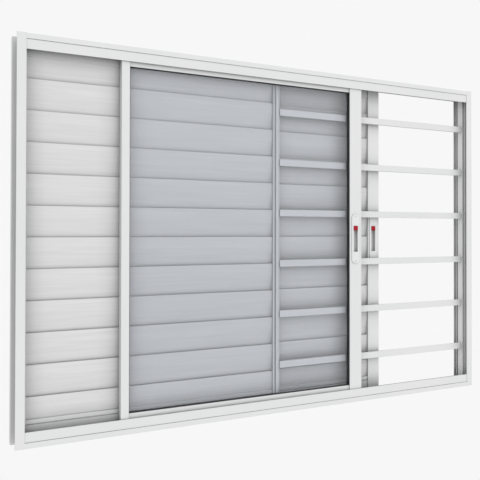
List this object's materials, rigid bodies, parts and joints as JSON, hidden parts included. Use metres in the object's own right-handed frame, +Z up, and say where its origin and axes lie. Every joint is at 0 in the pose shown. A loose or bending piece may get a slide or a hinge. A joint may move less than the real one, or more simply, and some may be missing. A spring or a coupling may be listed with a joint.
{
  "type": "sliding window with louvred shutters",
  "caption": "White aluminium sliding window in three tracks: a glazed leaf, fixed and sliding louvred leaves and a level burglar grille, shown partly open from the room side.",
  "frame": {"origin": "back face of the trim flange, half way along the sill's strip and in the middle of its height, where it bears on the wall", "axes": "+X to the right as seen from the room, along the tracks; +Y out through the wall, away from the room; +Z up"},
  "size_m": [1.528, 0.062, 1.02],
  "materials": {
    "frame": "white powder coat, satin",
    "glass": "clear float glass with a light grey tint",
    "gasket": "black glazing rubber",
    "latch": "white moulded plastic, satin",
    "button": "red moulded plastic",
    "roller": "natural nylon"
  },
  "bodies": {
    "root": {"fixed_shutter_bottom_rail": "frame", "fixed_shutter_jamb_stile": "frame", "fixed_shutter_meeting_stile": "frame", "fixed_shutter_slats": "frame", "fixed_shutter_top_rail": "frame", "frame_head": "frame", "frame_jamb_left": "frame", "frame_jamb_right": "frame", "frame_sill": "frame", "glass_leaf_bottom_rail": "frame", "glass_leaf_gasket": "gasket", "glass_leaf_latch_body": "latch", "glass_leaf_latch_button": "button", "glass_leaf_lock_stile": "frame", "glass_leaf_meeting_stile": "frame", "glass_leaf_pane": "glass", "glass_leaf_rollers": "roller", "glass_leaf_top_rail": "frame", "grille_bar_1": "frame", "grille_bar_2": "frame", "grille_bar_3": "frame", "grille_bar_4": "frame", "grille_bar_5": "frame", "grille_bar_6": "frame", "sliding_shutter_bottom_rail": "frame", "sliding_shutter_latch_body": "latch", "sliding_shutter_latch_button": "button", "sliding_shutter_lock_stile": "frame", "sliding_shutter_meeting_stile": "frame", "sliding_shutter_rollers": "roller", "sliding_shutter_slats": "frame", "sliding_shutter_top_rail": "frame", "trim_bottom": "frame", "trim_left": "frame", "trim_right": "frame", "trim_top": "frame"}
  },
  "joints": []
}
